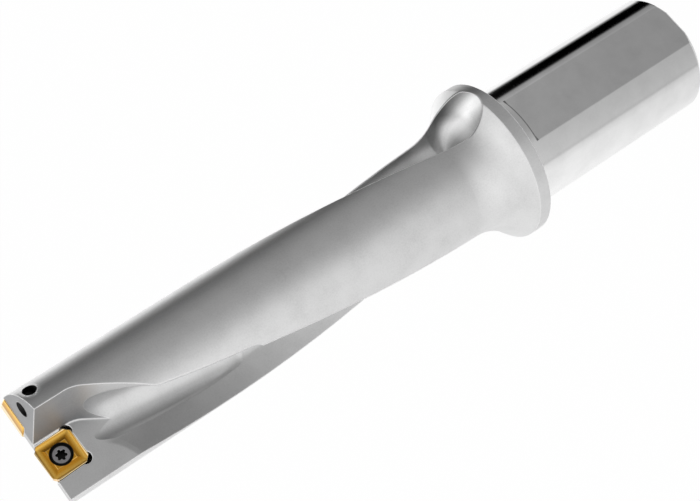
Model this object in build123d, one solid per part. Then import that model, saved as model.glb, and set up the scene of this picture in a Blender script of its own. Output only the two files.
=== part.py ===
"""Indexable drill, 28.5 mm cutting diameter, four diameters deep, on a 32 mm shank.

The origin is the centre of the shank's end face, and +Z runs along the tool to its point.
The first flute's seat face looks along +X, and the second flute's along -X.
A place in a flute is given in the first flute's frame: X square to the seat, -Y outwards.
All lengths are millimetres and all angles degrees.
"""
from build123d import *
from math import atan2, cos, degrees, hypot, radians, sin, tan
import os

overall_length = 193.15     # shank's end to the centre insert's cutting edge

# Shank
shank_diameter = 32.0
shank_length = 58.0
shank_chamfer = 1.0
flat_distance = 14.6        # axis to the clamping flat
flat_collar_gap = 4.5       # round length left between the flat and the collar

# Collar and neck
collar_diameter = 42.0
collar_rim_width = 3.4
collar_back_chamfer = 0.15
neck_cone_angle = 45.0      # from the axis
neck_radius = 14.75
cone_margin = 0.02          # share of the cone kept straight when the radius has little room

# Drilling body
cutting_diameter = 28.5
body_clearance = 0.21       # body stands back from the bored wall
tip_setback = 0.53          # ridge of the tip faces behind the cutting edge
tip_relief_slope = 0.241    # fall of a tip face behind its cutting edge

# Flutes, cut by a ball-ended cutter that leaves along its own axis
centre_flute_radius = 6.19  # of the cutter
centre_flute_depth = 7.5    # cutter centre from the axis, along the wall
peripheral_flute_radius = 6.9
peripheral_flute_depth = 7.8
peripheral_runout_radius = 7.2
flute_wall_lead = 0.45      # twisted wall stands this far ahead of the axis
flute_twist = 0.78          # degrees turned per millimetre of length
flute_square_depth = 23.4   # where the wall is parallel to the seats, behind the cutting edge
flute_end_gap = 6.2         # from the collar's rim to the cutter's centre at the flute's end
flute_reach = 17.0          # width of the slot outside the cutter's centre

# Gullet, a straight round groove that deepens each flute behind the seat
gullet_radius = 6.47
gullet_front = (7.77, -5.04)
gullet_front_depth = 13.15
gullet_back = (3.70, -9.10)
gullet_back_depth = 51.15

# Straight chip notch in front of each seat
seat_lead = 1.17            # seat faces stand ahead of the axis
notch_wall_lean = 0.235     # sideways run of the radial wall for each millimetre of height
notch_ramp_fall = 0.135     # fall of its run-out for each millimetre of height
notch_wall_length = 11.35
notch_ramp_angle = 32.6     # of the wall's run-out, from the axis
notch_ramp_radius = 7.0
notch_root_radius = 0.4
centre_notch_offset = 1.25  # foot of the wall past the axis
peripheral_notch_offset = -1.8

# Inserts
insert_size = 9.525
insert_thickness = 3.97
centre_corner = 1.3         # flat across each corner, along one side
centre_corner_radius = 0.6
peripheral_corner = 0.5
peripheral_corner_radius = 0.4
insert_upper_share = 0.7    # share of the thickness with the smaller clearance
insert_upper_clearance = 7.0
insert_lower_clearance = 12.0
insert_land = 0.2
insert_island = 5.0
groove_radius = 2.2
insert_hole_diameter = 4.0
insert_sink_diameter = 5.3
sink_half_angle = 30.0

# Seats
centre_insert_reach = 0.77  # inner end past the axis
centre_insert_turn = 2.0    # in the seat plane
peripheral_insert_lead = 1.5
peripheral_insert_turn = -0.9
peripheral_insert_tilt = 4.0
peripheral_setback = 0.15   # outer insert's edge behind the centre insert's
pocket_side_gap = 0.15
pocket_headroom = 1.0
pocket_corner_radius = 1.5
pocket_corner_inset = 1.05
pocket_corner_rise = 0.3    # the corner drill clips the notch wall by this height

# Insert screws
screw_head_diameter = 4.8
screw_head_depth = 0.9
screw_thread_diameter = 3.1
screw_length = 8.2
screw_end_chamfer = 0.4
thread_gap = 0.01
lobe_reach = 1.37
lobe_radius = 0.36
recess_core_radius = 1.0
recess_depth = 1.5

# Coolant
inlet_diameter = 11.8
inlet_length = 20.0
inlet_chamfer = 1.0
supply_diameter = 8.0
supply_end = 50.0
channel_diameter = 2.8
channel_collar_gap = 6.0    # the turning channels start this far past the collar's back
channel_bend_depth = 5.1    # they bend to their outlets this far behind the cutting edge
channel_runs = 6
inner_channel = (7.5, 5.0)
inner_outlet = (7.7, 7.6)
outer_channel = (5.7, 7.6)
outer_outlet = (5.7, 8.1)

reach = 60.0                # cutters run past the work by this much
on_plane = 0.001            # largest distance that still counts as lying on a plane

shank_radius = shank_diameter / 2
collar_radius = collar_diameter / 2
cutting_radius = cutting_diameter / 2
body_radius = cutting_radius - body_clearance
insert_half = insert_size / 2
rim_front = shank_length + collar_rim_width
body_tip = overall_length - tip_setback
top = overall_length + reach
flute_end = rim_front + flute_end_gap
channel_start = shank_length + channel_collar_gap
channel_bend = overall_length - channel_bend_depth
upward = (Align.CENTER, Align.CENTER, Align.MIN)


def direction(angle):
    """Unit vector across the axis at an angle from +X."""
    return Vector(cos(radians(angle)), sin(radians(angle)), 0)


def both_sides(cutter):
    """A cutter and its copy half a turn about the axis."""
    return [cutter, cutter.rotate(Axis.Z, 180)]


def turned(points):
    """Solid of revolution about the tool axis from (radius, height) points."""
    return revolve(Plane.XZ * make_face(Polyline(*points, close=True)), Axis.Z)


def turned_blank():
    """Shank, collar, neck and drilling body in one revolved profile."""
    cone_height = (collar_radius - body_radius) / tan(radians(neck_cone_angle))
    neck = (body_radius, rim_front + cone_height)
    points = [
        (0, 0),
        (shank_radius - shank_chamfer, 0),
        (shank_radius, shank_chamfer),
        (shank_radius, shank_length),
        (collar_radius - collar_back_chamfer, shank_length),
        (collar_radius, shank_length + collar_back_chamfer),
        (collar_radius, rim_front),
        neck,
        (body_radius, top),
        (0, top),
    ]
    section = make_face(Polyline(*points, close=True))
    section = fillet(section.vertices().sort_by_distance(neck)[0], neck_fillet(cone_height))
    return revolve(Plane.XZ * section, Axis.Z)


def neck_fillet(cone_height):
    """Neck radius, or as much of it as the cone has room for."""
    room = (1 - cone_margin) * cone_height / cos(radians(neck_cone_angle))
    return min(neck_radius, room / tan(radians(neck_cone_angle / 2)))


def clamping_flat():
    """Block that mills the flat from the shank's end to near the collar."""
    length = shank_length - flat_collar_gap
    block = Box(reach, reach, length, align=(Align.MIN, Align.CENTER, Align.MIN))
    return Pos(flat_distance, 0, 0) * block


def flute_angle(height):
    """Direction square to the twisted wall at a height."""
    return flute_twist * (height - overall_length + flute_square_depth)


def twisted_flute(radius, depth):
    """One flute: a slot with a round root that turns about the axis as it climbs."""
    length = top - flute_end
    slot = Rectangle(flute_reach, 2 * radius, align=(Align.MIN, Align.CENTER))
    section = Pos(depth, flute_wall_lead + radius) * (slot + Circle(radius))
    face = (Pos(0, 0, flute_end) * Rot(0, 0, flute_angle(flute_end) - 90) * section).face()
    foot = (0, 0, flute_end)
    return Solid.extrude_linear_with_rotation(face, foot, (0, 0, length), flute_twist * length)


def flute_runout(radius, depth):
    """Ball and shank of the cutter where it leaves the flute through the collar's front."""
    angle = flute_angle(flute_end)
    out = direction(angle - 90)
    centre = out * depth + direction(angle) * (flute_wall_lead + radius)
    cutter = Cylinder(radius, reach, align=upward) + Sphere(radius)
    return Plane(origin=(centre.X, centre.Y, flute_end), z_dir=out) * cutter


def gullet():
    """Straight round groove through the tip, with a ball end inside the flute."""
    back = Vector(*gullet_back, overall_length - gullet_back_depth)
    front = Vector(*gullet_front, overall_length - gullet_front_depth)
    groove = Cylinder(gullet_radius, 2 * reach, align=upward) + Sphere(gullet_radius)
    return Plane(origin=back, z_dir=front - back) * groove


def chip_notch(offset):
    """Straight notch: seat face, leaning radial wall and its ramp out to the body."""
    ramp = tan(radians(notch_ramp_angle))
    wall_end = overall_length - notch_wall_length
    low = wall_end - reach / 2
    points = [
        (offset, top),
        (offset, wall_end),
        (offset - ramp * (wall_end - low), low),
        (offset - reach, low),
        (offset - reach, top),
    ]
    section = make_face(Polyline(*points, close=True))
    bend = section.vertices().sort_by_distance((offset, wall_end))[0]
    section = Plane.YZ * fillet(bend, notch_ramp_radius)
    height = 2 * body_radius
    climb = (height, notch_wall_lean * height, -notch_ramp_fall * height)
    prism = Solid.extrude(section.face(), climb)
    root = [edge for edge in prism.edges() if on_wall_foot(edge, offset)]
    return Pos(seat_lead, 0, 0) * prism.fillet(notch_root_radius, root)


def on_wall_foot(edge, offset):
    """Whether an edge is where the notch's radial wall or its ramp meets the seat face."""
    middle = edge.center()
    on_seat = abs(middle.X) < on_plane
    on_end = abs(middle.Z - top) < on_plane
    on_back = middle.Y < offset - reach + on_plane
    on_floor = edge.geom_type == GeomType.LINE and abs(edge.tangent_at(0.5).Z) < on_plane
    return on_seat and not (on_end or on_back or on_floor)


def tip_face():
    """Everything past one land's relieved tip face."""
    face = Plane(origin=(0, 0, body_tip), z_dir=(tip_relief_slope, 0, 1))
    block = face * Box(2 * reach, 2 * reach, 2 * reach, align=upward)
    side = Box(2 * reach, 2 * reach, 4 * reach, align=(Align.MIN, Align.CENTER, Align.CENTER))
    return block & (Pos(0, 0, body_tip) * side)


def insert_steps():
    """How far the insert's sides have leaned in, and how deep, at each step."""
    upper = insert_upper_share * insert_thickness
    lower = insert_thickness - upper
    waist = upper * tan(radians(insert_upper_clearance))
    foot = waist + lower * tan(radians(insert_lower_clearance))
    return [(0, 0), (waist, upper), (foot, insert_thickness)]


def stepped_loft(outline):
    """Block below an insert's top face whose sides take the insert's two clearances."""
    wires = [Pos(0, 0, -depth) * outline(inset).face().outer_wire() for inset, depth in insert_steps()]
    upper_part = Solid.make_loft([wires[0], wires[1]], ruled=True)
    lower_part = Solid.make_loft([wires[1], wires[2]], ruled=True)
    return upper_part + lower_part


def chip_groove():
    """Concave groove along one side, mitred to its neighbours at the corner ridges."""
    inner = insert_island / 2
    outer = insert_half - insert_land
    half_width = (outer - inner) / 2
    rise = (groove_radius ** 2 - half_width ** 2) ** 0.5
    bar = Pos(inner + half_width, 0, rise) * Rot(90, 0, 0) * Cylinder(groove_radius, 2 * insert_size)
    mitre = make_face(Polyline((0, 0), (insert_size, -insert_size), (insert_size, insert_size), close=True))
    return bar & (Pos(0, 0, -insert_thickness) * extrude(mitre, 2 * insert_thickness))


def insert(corner, corner_radius):
    """One square insert with its top face at the origin, looking along +Z."""

    def outline(inset):
        size = insert_size - 2 * inset
        share = size / insert_size
        octagon = chamfer(Rectangle(size, size).vertices(), share * corner)
        return fillet(octagon.vertices(), share * corner_radius)

    body = stepped_loft(outline)
    for quarter in range(4):
        body -= Rot(0, 0, 90 * quarter) * chip_groove()
    sink_depth = (insert_sink_diameter - insert_hole_diameter) / 2 / tan(radians(sink_half_angle))
    bore = [
        (0, 0),
        (insert_sink_diameter / 2, 0),
        (insert_hole_diameter / 2, -sink_depth),
        (insert_hole_diameter / 2, -insert_thickness),
        (0, -insert_thickness),
    ]
    return body - turned(bore)


def screw():
    """Countersunk screw seated in the insert, with a six-lobed drive recess."""
    head = screw_head_diameter / 2
    thread = screw_thread_diameter / 2
    slope = tan(radians(sink_half_angle))
    seat = (insert_sink_diameter / 2 - head) / slope
    throat = head - screw_head_depth * slope
    end = seat + screw_length
    points = [
        (0, -seat),
        (head, -seat),
        (throat, -seat - screw_head_depth),
        (thread, -seat - screw_head_depth - (throat - thread)),
        (thread, -end + screw_end_chamfer),
        (thread - screw_end_chamfer, -end),
        (0, -end),
    ]
    lobes = PolarLocations(lobe_reach - lobe_radius, 6) * Circle(lobe_radius)
    recess = extrude(Circle(recess_core_radius) + lobes, 2 * recess_depth)
    return turned(points) - Pos(0, 0, -seat - recess_depth) * recess


def pocket(open_side):
    """Cutter for a seat: floor and walls on the insert's own faces, open to the tip."""

    def outline(inset):
        outer = reach if open_side else insert_half + pocket_side_gap - inset
        near = inset - insert_half
        corners = [(-near, near), (-near, reach), (-outer, reach), (-outer, near)]
        return make_face(Polyline(*corners, close=True))

    cutter = stepped_loft(outline) + extrude(outline(0), pocket_headroom)
    corners = [insert_half - pocket_corner_inset]
    if not open_side:
        corners.append(pocket_corner_inset - insert_half - pocket_side_gap)
    relief = Cylinder(pocket_corner_radius, insert_thickness + pocket_corner_rise, align=upward)
    for across in corners:
        cutter += Pos(across, pocket_corner_inset - insert_half, -insert_thickness) * relief
    hole = Cylinder(screw_thread_diameter / 2 + thread_gap, reach, align=upward)
    return cutter + Pos(0, 0, -reach) * hole


def seat_plane(lead, across, height, turn, tilt):
    """Plane of an insert's top face in the first flute, its X axis inwards and its Y axis to the tip."""
    inwards = Vector(0, 1, 0)
    forwards = Vector(-sin(radians(tilt)), 0, cos(radians(tilt)))
    x_dir = inwards * cos(radians(turn)) + forwards * sin(radians(turn))
    return Plane(origin=(lead, across, height), x_dir=x_dir, z_dir=inwards.cross(forwards))


def centre_seat():
    """Seat of the insert that cuts the middle of the bore."""
    across = centre_insert_reach - insert_half
    return seat_plane(seat_lead, across, overall_length - insert_half, centre_insert_turn, 0)


def peripheral_seat():
    """Seat of the insert that cuts the outside of the bore, before its half turn."""
    lead = peripheral_insert_lead
    across = insert_half - (cutting_radius ** 2 - lead ** 2) ** 0.5
    height = overall_length - peripheral_setback - insert_half
    return seat_plane(lead, across, height, peripheral_insert_turn, peripheral_insert_tilt)


def coolant_channel(start, outlet):
    """Channel from the supply bore through the first flute's land to its outlet.

    It turns with the flutes in straight runs, mitred end to end.
    """
    rise = (channel_bend - channel_start) / channel_runs
    depths = [rise * count for count in range(channel_runs, -1, -1)]
    angle = degrees(atan2(start[1], start[0]))
    turning = [direction(angle - flute_twist * depth) * hypot(*start) for depth in depths]
    points = [Vector(0, 0, supply_end - supply_diameter / 2)]
    points += [across + Vector(0, 0, channel_bend - depth) for across, depth in zip(turning, depths)]
    mouth = Vector(*outlet, body_tip - tip_relief_slope * outlet[0])
    points.append(mouth * 2 - points[-1])
    section = Plane(origin=points[0], z_dir=points[1] - points[0]) * Circle(channel_diameter / 2)
    return sweep(section, path=Polyline(*points), transition=Transition.RIGHT)


def coolant_inlet():
    """Threaded inlet at the shank's end and the supply bore behind it."""
    inlet = inlet_diameter / 2
    supply = supply_diameter / 2
    points = [
        (0, 0),
        (inlet + inlet_chamfer, 0),
        (inlet, inlet_chamfer),
        (inlet, inlet_length),
        (supply, inlet_length + inlet - supply),
        (supply, supply_end - supply),
        (0, supply_end),
    ]
    return turned(points)


def drill_body():
    """Steel body, milled from the turned blank."""
    cutters = [clamping_flat()]
    cutters += [twisted_flute(centre_flute_radius, centre_flute_depth)]
    cutters += [flute_runout(centre_flute_radius, centre_flute_depth)]
    cutters += [twisted_flute(peripheral_flute_radius, peripheral_flute_depth).rotate(Axis.Z, 180)]
    cutters += [flute_runout(peripheral_runout_radius, peripheral_flute_depth).rotate(Axis.Z, 180)]
    cutters += both_sides(gullet())
    cutters += [chip_notch(centre_notch_offset), chip_notch(peripheral_notch_offset).rotate(Axis.Z, 180)]
    cutters += both_sides(tip_face())
    cutters += [centre_seat() * pocket(open_side=False)]
    cutters += [(peripheral_seat() * pocket(open_side=True)).rotate(Axis.Z, 180)]
    cutters += [coolant_inlet()]
    cutters += [coolant_channel(inner_channel, inner_outlet)]
    cutters += [coolant_channel(outer_channel, outer_outlet).rotate(Axis.Z, 180)]
    body = turned_blank()
    for cutter in cutters:
        body -= cutter
    return body


centre_insert = insert(centre_corner, centre_corner_radius)
peripheral_insert = insert(peripheral_corner, peripheral_corner_radius)
parts = {
    "drill_body": drill_body(),
    "centre_insert": centre_seat() * centre_insert,
    "centre_insert_screw": centre_seat() * screw(),
    "peripheral_insert": (peripheral_seat() * peripheral_insert).rotate(Axis.Z, 180),
    "peripheral_insert_screw": (peripheral_seat() * screw()).rotate(Axis.Z, 180),
}

os.makedirs("parts", exist_ok=True)
for name, shape in parts.items():
    export_step(shape, os.path.join("parts", name + ".step"))
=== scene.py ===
"""An indexable drill for metal, as in the photograph, standing on its shank in a white studio.

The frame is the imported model's: metres, the shank's end face on z = 0 and the point upwards.
"""
import bpy
import numpy as np
from mathutils import Matrix

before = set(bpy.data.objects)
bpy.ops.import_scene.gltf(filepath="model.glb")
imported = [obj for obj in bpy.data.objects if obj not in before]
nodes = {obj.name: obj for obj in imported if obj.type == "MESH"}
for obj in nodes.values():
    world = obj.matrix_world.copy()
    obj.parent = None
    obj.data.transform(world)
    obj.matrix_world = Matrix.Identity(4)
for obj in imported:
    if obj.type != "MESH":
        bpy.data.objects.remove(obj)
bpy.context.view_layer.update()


# The camera. It looks down on the tool from in front of the first flute, rolled so that the
# upright tool lies across the picture with its point at the lower left.
camera_right = (0.12931, -0.60333, -0.78694)
camera_up = (0.42998, 0.74922, -0.50376)
camera_back = (0.89353, -0.27322, 0.35631)
camera_place = (0.32410, -0.09909, 0.23352)
camera_lens = 77.16         # millimetres, on the 36 mm wide sensor
camera_near = 0.01


def stand(name, data, right, up, back, place):
    """Object at a place, with its own three axes turned to the three directions."""
    made = bpy.data.objects.new(name, data)
    axes = np.array([right, up, back, place]).T
    made.matrix_world = Matrix([*axes.tolist(), [0, 0, 0, 1]])
    bpy.context.collection.objects.link(made)
    return made


camera = bpy.data.cameras.new("camera")
camera.lens = camera_lens
camera.clip_start = camera_near
bpy.context.scene.camera = stand("camera", camera, camera_right, camera_up, camera_back, camera_place)
bpy.context.scene.view_settings.view_transform = "Standard"


# The studio's floor: pale painted board under the upright tool, running out to white. The camera
# sees it almost white, with the tool's own soft shadow on it.
floor_radius = 3.0
floor_corners = 96
floor_paint = (0.92, 0.92, 0.92, 1)
floor_shine = 0.98          # share of the floor's look that is plain white to the camera
white_paint = (1, 1, 1, 1)


class Wire:
    """A shader socket that takes part in sums: each operator adds one Math node.

    Without a socket it stands for the tree alone, and only adds nodes to it.
    """

    def __init__(self, tree, socket=None):
        self.tree = tree
        self.socket = socket

    def node(self, kind, settings=None, inputs=None, out=0):
        """Adds a node, makes its settings, fills its sockets and returns the output asked for."""
        made = self.tree.nodes.new(kind)
        for name, value in (settings or {}).items():
            if name == "stops":
                ramp = made.color_ramp
                while len(ramp.elements) < len(value):
                    ramp.elements.new(1)
                for stop, (place, colour) in zip(ramp.elements, value):
                    stop.position = place
                    stop.color = (*colour, 1)
            else:
                setattr(made, name, value)
        for name, value in (inputs or {}).items():
            socket = made.inputs[name]
            if isinstance(value, Wire):
                self.tree.links.new(value.socket, socket)
            else:
                socket.default_value = value
        return Wire(self.tree, made.outputs[out] if len(made.outputs) else None)

    def math(self, operation, *values):
        """One Math node of this socket and the values, in that order."""
        numbers = dict(enumerate((self, *values)))
        return self.node("ShaderNodeMath", {"operation": operation}, numbers)

    def after(self, operation, number):
        """One Math node of a number and this socket, in that order."""
        return self.node("ShaderNodeMath", {"operation": operation}, {0: number, 1: self})

    def __add__(self, other):
        return self.math("ADD", other)

    def __sub__(self, other):
        return self.math("SUBTRACT", other)

    def __mul__(self, other):
        return self.math("MULTIPLY", other)

    def __truediv__(self, other):
        return self.math("DIVIDE", other)

    def __radd__(self, number):
        return self.after("ADD", number)

    def __rsub__(self, number):
        return self.after("SUBTRACT", number)

    def __rmul__(self, number):
        return self.after("MULTIPLY", number)

    def __rtruediv__(self, number):
        return self.after("DIVIDE", number)

    def ramp(self, low, high, start=0.0, end=1.0):
        """Goes smoothly from start to end while this socket goes from low to high."""
        return self.node("ShaderNodeMapRange", {"interpolation_type": "SMOOTHSTEP"}, {
            "Value": self, "From Min": low, "From Max": high, "To Min": start, "To Max": end})

    def line(self, places, values):
        """Straight line through two values that this socket has at two places."""
        slope = (values[1] - values[0]) / (places[1] - places[0])
        return self * slope + (values[0] - places[0] * slope)

    def blend(self, first, second):
        """Colour that goes from the first to the second as this socket goes from 0 to 1."""
        return self.node("ShaderNodeMix", {"data_type": "RGBA"}, {0: self, 6: first, 7: second}, out=2)


def new_look(name):
    """Material with an empty tree, and the wire to that tree."""
    look = bpy.data.materials.new(name)
    look.use_nodes = True
    look.node_tree.nodes.clear()
    return look, Wire(look.node_tree)


def seen_white(wire):
    """1 for the rays that look at the background: the camera's, a mirror's or a glass's."""
    seen = wire.node("ShaderNodeLightPath", out="Is Camera Ray")
    rays = seen.socket.node.outputs
    for ray in ("Is Glossy Ray", "Is Transmission Ray"):
        seen = seen.math("MAXIMUM", Wire(wire.tree, rays[ray]))
    return seen


turn = np.linspace(0, 2 * np.pi, floor_corners, endpoint=False)
rim = np.stack([floor_radius * np.cos(turn), floor_radius * np.sin(turn), np.zeros(floor_corners)], 1)
mesh = bpy.data.meshes.new("studio_floor")
mesh.from_pydata(rim.tolist(), [], [list(range(floor_corners))])
floor = bpy.data.objects.new("studio_floor", mesh)
bpy.context.collection.objects.link(floor)
floor_look, wire = new_look("floor_board")
board = wire.node("ShaderNodeBsdfDiffuse", None, {"Color": floor_paint})
white = wire.node("ShaderNodeEmission", None, {"Color": white_paint, "Strength": 1.0})
shown = wire.node("ShaderNodeMixShader", None, {0: seen_white(wire) * floor_shine, 1: board, 2: white})
wire.node("ShaderNodeOutputMaterial", None, {"Surface": shown})
floor.data.materials.append(floor_look)
floor.visible_glossy = False


# The studio's light: white all round for whatever looks at it, a soft even fill for the rest,
# one wide soft box overhead and one at the side from which the tool's broad bright band comes.
fill_strength = 0.75
lit_middle = (0.0, 0.0, 0.1)
overhead_place, overhead_size, overhead_gain = (0.1, 0.0, 1.1), 1.1, 0.35
side_place, side_size, side_gain = (0.0, -1.0, 0.25), 0.9, 0.30

world = bpy.data.worlds.new("studio")
bpy.context.scene.world = world
world.use_nodes = True
world.node_tree.nodes.clear()
wire = Wire(world.node_tree)
strength = seen_white(wire) * (1 - fill_strength) + fill_strength
sky = wire.node("ShaderNodeBackground", None, {"Color": white_paint, "Strength": strength})
wire.node("ShaderNodeOutputWorld", None, {"Surface": sky})


def soft_box(name, place, size, gain):
    """Square lamp that faces the tool's middle; its face looks gain times white."""
    lamp = bpy.data.lights.new(name, "AREA")
    lamp.shape = "SQUARE"
    lamp.size = size
    lamp.energy = gain * np.pi * size ** 2
    back = np.array(place) - np.array(lit_middle)
    back = back / np.linalg.norm(back)
    along_y = abs(back[1]) > abs(back[2])
    side = np.cross((1.0, 0.0, 0.0) if along_y else (0.0, 1.0, 0.0), back)
    side = side / np.linalg.norm(side)
    stand(name, lamp, side, np.cross(back, side), back, place)


soft_box("overhead_box", overhead_place, overhead_size, overhead_gain)
soft_box("side_box", side_place, side_size, side_gain)


# The studio's screen: a tall tube of white, grey and black card round the tool, outside the
# picture. Bright metal shows it as its light side, its grey side and the shank's black streak.
# Its lower part is darker in front, and that is the part which the upright walls look down on.
screen_radius = 0.8
screen_low, screen_high = -1.1, 0.5
screen_panels = 180
change_heights = (-0.42, -0.12)         # between these the lower part passes into the upper
full_tone = 2.0             # brightness that a white stop of a tone ramp stands for
lower_tones = [         # degrees from +X, and brightness
    (-180, 0.96), (-150, 1.03), (-95, 0.93), (-81, 0.79), (-77, 0.56), (-72, 0.62),
    (-34, 0.54), (-20, 0.41), (0, 0.35), (30, 0.35), (66, 0.46), (77, 0.33),
    (82, 0.0), (107, 0.0), (112, 0.3), (118, 1.02), (150, 1.1), (180, 0.96)]
upper_tones = [
    (-180, 1.05), (-150, 1.12), (-120, 1.07), (-60, 1.25), (-40, 1.24), (-22, 0.98),
    (-8, 0.69), (8, 0.54), (28, 0.415), (52, 0.355), (70, 0.22), (80, 0.065),
    (97, 0.05), (106, 0.31), (118, 1.4), (140, 1.7), (158, 1.2), (180, 1.05)]


def axes_of(wire, place):
    """The three numbers of a place."""
    across = wire.node("ShaderNodeSeparateXYZ", None, {0: place})
    outputs = across.socket.node.outputs
    return across, Wire(wire.tree, outputs["Y"]), Wire(wire.tree, outputs["Z"])


def round_share(first, second):
    """Turn from the first axis towards the second, as a share of a full turn from -180 degrees."""
    return second.math("ARCTAN2", first) / (2 * np.pi) + 0.5


def round_stops(tones, full):
    """Ramp stops of greys round a full turn, from pairs of degrees and tone."""
    return [((angle + 180) / 360, (tone / full,) * 3) for angle, tone in tones]


turn = np.radians(np.linspace(-180, 180, screen_panels + 1))
ring = np.stack([screen_radius * np.cos(turn), screen_radius * np.sin(turn)], 1)
count = len(ring)
low_edge = np.column_stack([ring, np.full(count, screen_low)])
high_edge = np.column_stack([ring, np.full(count, screen_high)])
panels = [[i, i + count, i + count + 1, i + 1] for i in range(screen_panels)]
mesh = bpy.data.meshes.new("studio_screen")
mesh.from_pydata(np.vstack([low_edge, high_edge]).tolist(), [], panels)
screen = bpy.data.objects.new("studio_screen", mesh)
bpy.context.collection.objects.link(screen)
card_look, wire = new_look("card")
across, along, height = axes_of(wire, wire.node("ShaderNodeTexCoord", out="Object"))
share = round_share(across, along)
lower = wire.node("ShaderNodeValToRGB", {"stops": round_stops(lower_tones, full_tone)}, {0: share})
upper = wire.node("ShaderNodeValToRGB", {"stops": round_stops(upper_tones, full_tone)}, {0: share})
tone = height.ramp(*change_heights).blend(lower, upper)
glow = wire.node("ShaderNodeEmission", None, {"Color": tone, "Strength": full_tone})
wire.node("ShaderNodeOutputMaterial", None, {"Surface": glow})
screen.data.materials.append(card_look)
screen.visible_camera = False
screen.visible_diffuse = False
screen.visible_shadow = False


# The drill's body: one piece of tool steel, turned and milled. Collar, neck and lands are blasted
# satin and nickel plated, the flutes and seats show the cutter's finish, the shank is ground bright.
# Its edges carry a painted highlight, and its holes and gaps a black painted shade.
shank_top = 0.05802         # the ground shank ends here, under the collar
land_radius = 0.01400       # over the shank, whatever lies nearer to the tool's axis has been milled
plate_colour = (0.70, 0.70, 0.70, 1)
plate_roughness = 0.42
milled_colour = (0.66, 0.66, 0.66, 1)
milled_roughness = 0.38
shank_foot_painted_shade = (0.78, 0.78, 0.78, 1)
ground_high_colour = (0.89, 0.89, 0.89, 1)
ground_heights = (0.005, 0.058)         # of the painted shade at the shank's foot, and of the plain ground colour
ground_roughness = 0.10

# The steel's grain, its broader clouds and the flecks that both of them make.
grain_noise = {"Scale": 2600.0, "Detail": 3.0}
cloud_noise = {"Scale": 170.0, "Detail": 4.0}
fleck_colour = (0.80, 0.80, 0.80, 1)
fleck_level = 0.30
grain_flecks, shank_calm = 0.8, 0.5     # the shank has this much less of the grain's flecks
cloud_flecks, cloud_roughness = 0.8, 0.06
grain_bump = {"Strength": 0.12, "Distance": 0.00002}
shank_smooth = 0.9          # share of the grain's relief that grinding has taken off the shank

# Painted highlights along the edges, and painted glints on the burr round the holes through which the
# screws come out.
painted_highlight_colour = (0.97, 0.97, 0.97, 1)
edge_round = 0.00045
edge_turn = (0.88, 0.995)   # cosine of the turn of the rounded normal: a full edge, and none
# how strongly the painted highlight and the burr's painted glints show
edge_highlight_share, burr_glint_share = 0.9, 0.8
edge_scatter = 0.7          # share of the painted highlight's light that scatters
exit_radius = 0.00166
burr_ring = (0.00186, 0.00246)
burr_grain = (0.42, 0.52)

# Black painted shade: in the gaps, in the screws' holes, in the coolant's outlets and in the line at the
# flat's end.
painted_shade_black = (0.004, 0.004, 0.004, 1)
gap_reach = 0.0026          # a wall nearer than this darkens a gap with painted shade
gap_open = (0.15, 0.42)     # share of open sky: black painted shade, and none
screw_axes = ((-0.00399, 0.18839), (0.00941, 0.18824))      # of the two screws: along, and height
facing_split = 0.0027       # the second seat, which looks the other way, lies past this place along
screw_fall = 0.0699         # the second screw leans down by this slope towards its far end
screw_head = -0.0012        # place across where it has the height given above
outlets = ((0.0077, 0.0076, 0.1909, 0.95), (-0.0057, -0.0081, 0.1914, -0.18))   # mouth, and slope
outlet_radius, outlet_depth = 0.00150, 0.0016
flat_end, flat_skin = 0.0535, 0.01455   # height where the clamping flat stops, and its distance across
flat_line = (0.00015, 0.0004)           # half width of the line there: full, and none
flat_line_black = 0.8

# Dull walls of the two chip notches, rougher, with painted shade from what stands round them.
notch_painted_shade = (0.115, 0.12, 0.13, 1)
dull_scatter, dull_roughness = 0.85, 0.2
notch_wall = (0.00122, 0.00167)         # from the seat's plane out to here the wall begins
notch_back = (0.174, 0.181)             # and sets in between these heights
shade_reach = 0.012         # what stands nearer than this shades the wall
shade_open = (0.40, 1.0)    # share of open sky: fully dull, and least dull
shade_least = 0.55

# Twisted walls beside the gullets, and the flutes' roots near the neck: a darker grey of painted shade.
wall_painted_shade = (0.47, 0.47, 0.47, 1)
twist = np.radians(0.78) * 1000         # a metre
square_height = 0.16986     # where the twisted walls stand parallel to the seats
wall_lead = 0.00045         # their place, square to themselves
wall_skin = (0.00012, 0.00025)          # distance from that place: on the wall, and off it
wall_inner = (0.0065, 0.0085)           # from here outwards the twisted wall stands clear of the gullet
wall_fade = (0.112, 0.150)  # their painted shade sets in between these heights
wall_top = 0.1800           # and stops under this one
root_start, root_end = (0.072, 0.077), (0.095, 0.110)   # the roots' painted shade sets in, and runs out

# Gullets: the slanting grooves behind the seats, with painted shade along their outer side.
gullet_painted_shade = (0.22, 0.22, 0.22, 1)
groove_share = 0.75
gullet_radius = 0.00647
gullet_reach = 0.00662      # the radius of the slanting groove where it is cut level, and a little more
gullet_side = (-0.20, 0.20)             # shares of the radius outwards: no painted shade, and full
gullet_heights = (0.1421, 0.1801)
gullet_squares = (0.00370, 0.00777)     # its middle's place square to the seats, at these heights
gullet_outs = (0.00910, 0.00504)        # and its place outwards, both from the tool's axis
gullet_fade = (0.1421, 0.1521)          # the painted shade sets in between these heights

# The second flute's run-out into the neck. A painted highlight band on painted shade stands for its
# smooth bend.
runout_height = 0.0676
runout_centre = (0.0078, 0.00765)       # of its ball, along and across the cutter's axis
runout_border = (0.0073, 0.0078)        # distance from its middle: inside, and outside
runout_top = (-0.0010, 0.0018)          # drop below the cutter's middle: outside, and inside
runout_tilt = 0.55          # its blended floor leans out by this much
runout_skew = 4000.0 / 360  # the painted highlight band turns on by this share of a turn a metre outwards
runout_painted_tones = [        # degrees round the cutter's axis, and the grey of painted light and shade
    (-180, 0.22), (-14, 0.22), (-6, 0.28), (4, 0.46), (12, 0.70), (20, 0.90), (34, 0.95), (46, 0.72),
    (62, 0.50), (80, 0.42), (180, 0.42)]
runout_turn = twist * (runout_height - square_height)


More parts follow.
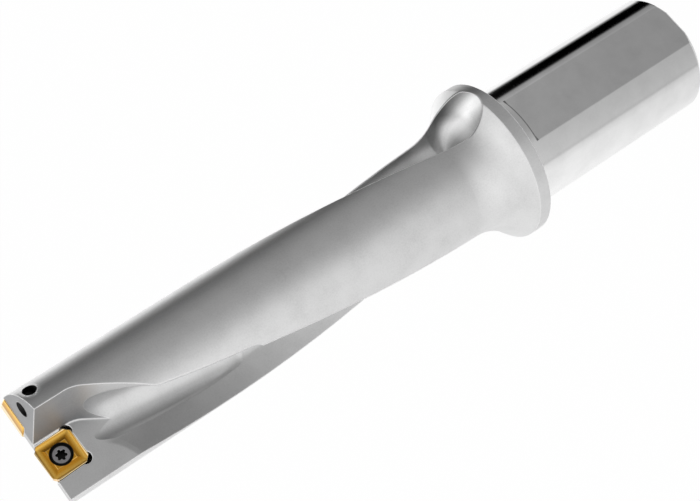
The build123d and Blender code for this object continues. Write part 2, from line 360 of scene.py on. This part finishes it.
def edge_and_normal(wire, radius):
    """Rounded normal, and a mask that is 1 along the edges that it rounds."""
    rounded = wire.node("ShaderNodeBevel", {"samples": 8}, {"Radius": radius})
    flat = wire.node("ShaderNodeNewGeometry", out="Normal")
    level = wire.node("ShaderNodeVectorMath", {"operation": "DOT_PRODUCT"}, {
        0: rounded, 1: flat}, out="Value")
    return rounded, level.ramp(*edge_turn, 1.0, 0.0)


def open_share(wire, reach):
    """Share of the sky over a point that nothing nearer than the reach covers."""
    return wire.node("ShaderNodeAmbientOcclusion", {"samples": 12}, {"Distance": reach}, out="AO")


def length(*sides):
    """Length of a line, from its parts along square axes."""
    total = sides[0] * sides[0]
    for side in sides[1:]:
        total = total + side * side
    return total.math("SQRT")


def hole_distance(along, height):
    """Distance of a point from the nearer of the two screws' axes."""
    first, second = [length(along - middle, height - level) for middle, level in screw_axes]
    return first.math("MINIMUM", second)


def outlet_share(across, along, height):
    """1 in the two coolant outlets, whose last stretch leans along by its slope."""
    hits = []
    for middle, back, level, slope in outlets:
        backwards = (along - back - (height - level) * slope) * np.cos(np.arctan(slope))
        inside = length(across - middle, backwards).math("LESS_THAN", outlet_radius)
        hits.append(inside * height.math("GREATER_THAN", level - outlet_depth))
    return hits[0].math("MAXIMUM", hits[1])


def flute_frame(across, along, cosine, sine):
    """Places square to a flute's wall and outwards along it, and which of the two flutes it is."""
    square = across * cosine + along * sine
    outward = across * sine - along * cosine
    flute = square.math("SIGN")
    return square * flute, outward * flute, flute


def twisted_wall(across, along, height):
    """1 on the two twisted walls: a thin skin in the plane that turns with the flutes."""
    turn = (height - square_height) * twist
    square, outward, flute = flute_frame(across, along, turn.math("COSINE"), turn.math("SINE"))
    wall = (square - wall_lead).math("ABSOLUTE").ramp(*wall_skin, 1.0, 0.0) * outward.ramp(*wall_inner)
    return wall * height.ramp(*wall_fade) * height.math("LESS_THAN", wall_top)


def gullet_shade(across, along, height):
    """1 along the outer side of the two gullets, passing to 0 about their middle."""
    flute = along.math("SIGN") * -1
    square = across * flute - height.line(gullet_heights, gullet_squares)
    outward = along.math("ABSOLUTE") - height.line(gullet_heights, gullet_outs)
    zone = length(square, outward).math("LESS_THAN", gullet_reach) * height.ramp(*gullet_fade)
    return zone * (outward / gullet_radius).ramp(*gullet_side)


def runout(square, outward, height):
    """Zone of the run-outs, and the turn round their cutter's axis as a share from -180 degrees."""
    side = square - runout_centre[1]
    behind = (outward - runout_centre[0]).math("MINIMUM", 0.0)
    fall = runout_height - height
    zone = length(side, fall, behind).ramp(*runout_border, 1.0, 0.0) * fall.ramp(*runout_top)
    return zone, round_share(side, fall) - outward * runout_skew


body_look, wire = new_look("satin_nickel_steel")
place = wire.node("ShaderNodeTexCoord", out="Object")
across, along, height = axes_of(wire, place)
grain = wire.node("ShaderNodeTexNoise", None, {"Vector": place, **grain_noise}, out="Fac")
cloud = wire.node("ShaderNodeTexNoise", None, {"Vector": place, **cloud_noise}, out="Fac")
rounded, edge = edge_and_normal(wire, edge_round)
shank = height.math("LESS_THAN", shank_top)
milled = length(across, along).math("LESS_THAN", land_radius) * (1 - shank)

# The painted highlights and the black painted shade.
lean = along.math("GREATER_THAN", facing_split) * (across - screw_head) * screw_fall
hole = hole_distance(along, height + lean)
burr = hole.ramp(*burr_ring, 1.0, 0.0) * grain.ramp(*burr_grain)
painted_highlight = (edge * (1 - shank) * edge_highlight_share).math("MAXIMUM", burr * burr_glint_share)
line = (height - flat_end).math("ABSOLUTE").ramp(*flat_line, flat_line_black, 0.0)
line = line * shank * across.math("GREATER_THAN", flat_skin)
# Black painted shade where walls close in, and in the holes, the outlets and the flat's end line.
painted_shade = open_share(wire, gap_reach).ramp(*gap_open, 1.0, 0.0)
for mask in (outlet_share(across, along, height), hole.math("LESS_THAN", exit_radius), line):
    painted_shade = painted_shade.math("MAXIMUM", mask)

# The painted shade and light: notches, twisted walls and roots, gullets, and the run-out with its band.
notch = across.math("ABSOLUTE").ramp(*notch_wall) * height.ramp(*notch_back)
dull_and_painted_shade = milled * notch * open_share(wire, shade_reach).ramp(*shade_open, 1.0, shade_least)
root = height.ramp(*root_start) * height.ramp(*root_end, 1.0, 0.0)
# Painted shade on the twisted walls and the flutes' roots.
wall = twisted_wall(across, along, height).math("MAXIMUM", root) * milled
# Painted shade along the gullets' outer side.
groove = gullet_shade(across, along, height) * milled * groove_share
square, outward, flute = flute_frame(across, along, np.cos(runout_turn), np.sin(runout_turn))
trough, swing = runout(square, outward, height)
trough = trough * (1 - shank) * flute.math("LESS_THAN", 0.0)
painted_band = wire.node("ShaderNodeValToRGB", {"stops": round_stops(runout_painted_tones, 1.0)}, {0: swing})

# The colour, laid on from the plain finishes to the black painted shade.
# The ground shank, with painted shade darker towards its foot.
ground = height.ramp(*ground_heights).blend(shank_foot_painted_shade, ground_high_colour)
colour = shank.blend(milled.blend(plate_colour, milled_colour), ground)
# Painted shade on the gullets, notch walls, twisted walls and roots, and the run-out's painted light
# band.
colour = groove.blend(colour, gullet_painted_shade)
colour = dull_and_painted_shade.blend(colour, notch_painted_shade)
colour = wall.blend(colour, wall_painted_shade)
colour = trough.blend(colour, painted_band)
flecks = (grain - 0.5) * (grain_flecks - shank * shank_calm) + (cloud - 0.5) * cloud_flecks
flecks = (flecks + fleck_level).ramp(0.0, 1.0)
colour = wire.node("ShaderNodeMix", {"data_type": "RGBA", "blend_type": "MULTIPLY"}, {
    0: flecks, 6: colour, 7: fleck_colour}, out=2)
colour = painted_highlight.blend(colour, painted_highlight_colour)
colour = painted_shade.blend(colour, painted_shade_black)

# Roughness, the share of metal, and the normal with the run-out's lean and the grain on it.
rough = (milled * (milled_roughness - plate_roughness) + plate_roughness) * (1 - shank)
rough = rough + shank * ground_roughness + (cloud - 0.5) * cloud_roughness + dull_and_painted_shade * dull_roughness
metallic = 1 - (painted_highlight * edge_scatter).math("MAXIMUM", dull_and_painted_shade * dull_scatter)
tilt = trough * flute * runout_tilt
lean_out = wire.node("ShaderNodeCombineXYZ", None, {
    0: tilt * np.sin(runout_turn), 1: tilt * -np.cos(runout_turn)})
rounded = wire.node("ShaderNodeVectorMath", {"operation": "ADD"}, {0: rounded, 1: lean_out})
rounded = wire.node("ShaderNodeVectorMath", {"operation": "NORMALIZE"}, {0: rounded})
relief = grain * (1 - shank * shank_smooth)
bump = wire.node("ShaderNodeBump", None, {**grain_bump, "Height": relief, "Normal": rounded})
metal = wire.node("ShaderNodeBsdfPrincipled", None, {
    "Base Color": colour, "Metallic": metallic, "Roughness": rough, "Normal": bump})
wire.node("ShaderNodeOutputMaterial", None, {"Surface": metal})
nodes["drill_body"].material_slots[0].material = body_look


# The two inserts: pressed and sintered carbide squares with a chip groove along each side, a
# golden nitride coating all over, clamped on their seats by a screw through the middle.
half_side = 0.00476
coat_and_painted_light_tones = [          # share of the half side from the middle, and the coating's tone there, with painted light and shade on its grooves and ridges
    (0.0, (0.60, 0.28, 0.02)), (0.49, (0.64, 0.30, 0.02)), (0.515, (0.88, 0.52, 0.12)),
    (0.55, (0.34, 0.14, 0.008)), (0.68, (0.62, 0.29, 0.02)), (0.84, (1.0, 0.60, 0.12)),
    (0.93, (0.55, 0.26, 0.02)), (0.955, (1.0, 0.72, 0.30)), (1.0, (1.0, 0.66, 0.22))]
# Painted highlight along the coating's edges.
coat_painted_highlight = (1.0, 0.80, 0.42, 1)
coat_edge_round, coat_highlight_share = 0.00015, 0.8
coat_roughness = 0.24
coat_metal = 0.85
coat_noise = {"Scale": 7000.0, "Detail": 2.0}
coat_bump = {"Strength": 0.1, "Distance": 0.00002}
# Painted light on the insert's flank, in a pale colour.
flank_painted_light = (1.0, 0.84, 0.55, 1)
flank_start = (0.93, 0.96)  # share of the half side
flank_depth = (0.0009, 0.0014)          # distance across from the tool's axis: flank, and face
sink_ring = (0.00265, 0.00285)          # from the screw's axis: the countersink's ring of black painted shade, and its end
# Black painted shade in the gaps round the inserts.
coat_gap_reach = 0.0010
coat_gap_open = (0.06, 0.38)


def square_distance(along, height):
    """How far a point stands from the nearer insert's middle, as a share of its half side."""
    first, second = [(along - middle).math("ABSOLUTE").math("MAXIMUM", (height - level).math("ABSOLUTE"))
                     for middle, level in screw_axes]
    return first.math("MINIMUM", second) / half_side


insert_look, wire = new_look("golden_nitride")
place = wire.node("ShaderNodeTexCoord", out="Object")
across, along, height = axes_of(wire, place)
grain = wire.node("ShaderNodeTexNoise", None, {"Vector": place, **coat_noise}, out="Fac")
rounded, edge = edge_and_normal(wire, coat_edge_round)
square = square_distance(along, height)
flank = square.ramp(*flank_start) * across.math("ABSOLUTE").ramp(*flank_depth, 1.0, 0.0)
sink = hole_distance(along, height).ramp(*sink_ring, 1.0, 0.0)
painted_shade = open_share(wire, coat_gap_reach).ramp(*coat_gap_open, 1.0, 0.0).math("MAXIMUM", sink)
colour = wire.node("ShaderNodeValToRGB", {"stops": coat_and_painted_light_tones}, {0: square})
colour = (edge * coat_highlight_share).blend(colour, coat_painted_highlight)
colour = flank.blend(colour, flank_painted_light)
colour = painted_shade.blend(colour, painted_shade_black)
bump = wire.node("ShaderNodeBump", None, {**coat_bump, "Height": grain, "Normal": rounded})
gold = wire.node("ShaderNodeBsdfPrincipled", None, {
    "Base Color": colour, "Metallic": coat_metal, "Roughness": coat_roughness, "Normal": bump})
wire.node("ShaderNodeOutputMaterial", None, {"Surface": gold})
for name in ("centre_insert", "peripheral_insert"):
    nodes[name].material_slots[0].material = insert_look


# The insert screws: small countersunk screws of hardened steel, black oxide, lighter along their edges,
# their six-lobed recess pressed into the head; the head's rim and the recess carry black painted shade.
oxide_colour = (0.30, 0.29, 0.30, 1)
oxide_metal, oxide_roughness = 0.8, 0.35
screw_edge_colour = (0.7, 0.7, 0.7, 1)
screw_edge_round, screw_edge_share = 0.00012, 0.5
head_rim = (0.00188, 0.00208)           # from the axis: the head's face, and the black painted shade at its rim
recess_floor = (0.00059, 0.00069)       # outwards across: the recess in black painted shade, and the head's face

screw_look, wire = new_look("black_oxide")
across, along, height = axes_of(wire, wire.node("ShaderNodeTexCoord", out="Object"))
rounded, edge = edge_and_normal(wire, screw_edge_round)
rim = hole_distance(along, height).ramp(*head_rim)
outside = across * (1 - along.math("GREATER_THAN", facing_split) * 2)
recess = outside.ramp(*recess_floor, 1.0, 0.0)
# Lighter along the screw's edges.
colour = (edge * screw_edge_share).blend(oxide_colour, screw_edge_colour)
# Black painted shade at the head's rim and in the recess.
colour = rim.math("MAXIMUM", recess).blend(colour, painted_shade_black)
oxide = wire.node("ShaderNodeBsdfPrincipled", None, {
    "Base Color": colour, "Metallic": oxide_metal, "Roughness": oxide_roughness, "Normal": rounded})
wire.node("ShaderNodeOutputMaterial", None, {"Surface": oxide})
for name in ("centre_insert_screw", "peripheral_insert_screw"):
    nodes[name].material_slots[0].material = screw_look
